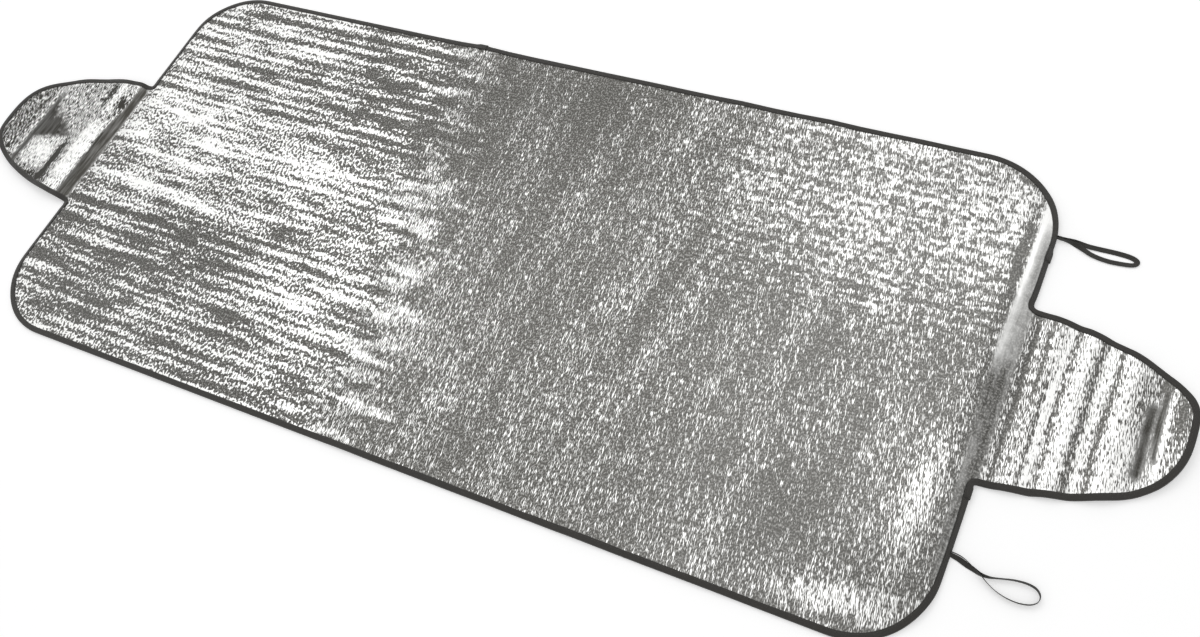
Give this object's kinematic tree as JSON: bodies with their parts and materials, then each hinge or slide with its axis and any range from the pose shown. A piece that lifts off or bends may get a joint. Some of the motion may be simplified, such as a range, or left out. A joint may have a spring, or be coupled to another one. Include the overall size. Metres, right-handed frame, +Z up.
{
  "type": "windshield frost cover",
  "caption": "Flat foil laminate cover with rounded corners, a door ear at each short end, a taped edge and elastic loops for the wing mirrors.",
  "frame": {"origin": "on the floor under the middle of the cover's overall outline, ears included and elastic loops left out", "axes": "+X along the long side towards the end with the elastic loops, +Y towards the far long edge in the picture, +Z up, out of the foil face"},
  "size_m": [1.9379, 0.719, 0.0192],
  "materials": {
    "foil": "embossed aluminium foil face of a foam laminate, crinkled, bright streaks on grey",
    "binding_tape": "dark olive-black woven tape, matt, sewn with a single row of stitches",
    "elastic": "dark flat woven elastic band, matt"
  },
  "bodies": {
    "root": {"foil_sheet": "foil", "binding_ear_run": "binding_tape", "binding_back_run": "binding_tape", "binding_front_run": "binding_tape", "upper_loop": "elastic", "lower_loop": "elastic"}
  },
  "joints": []
}
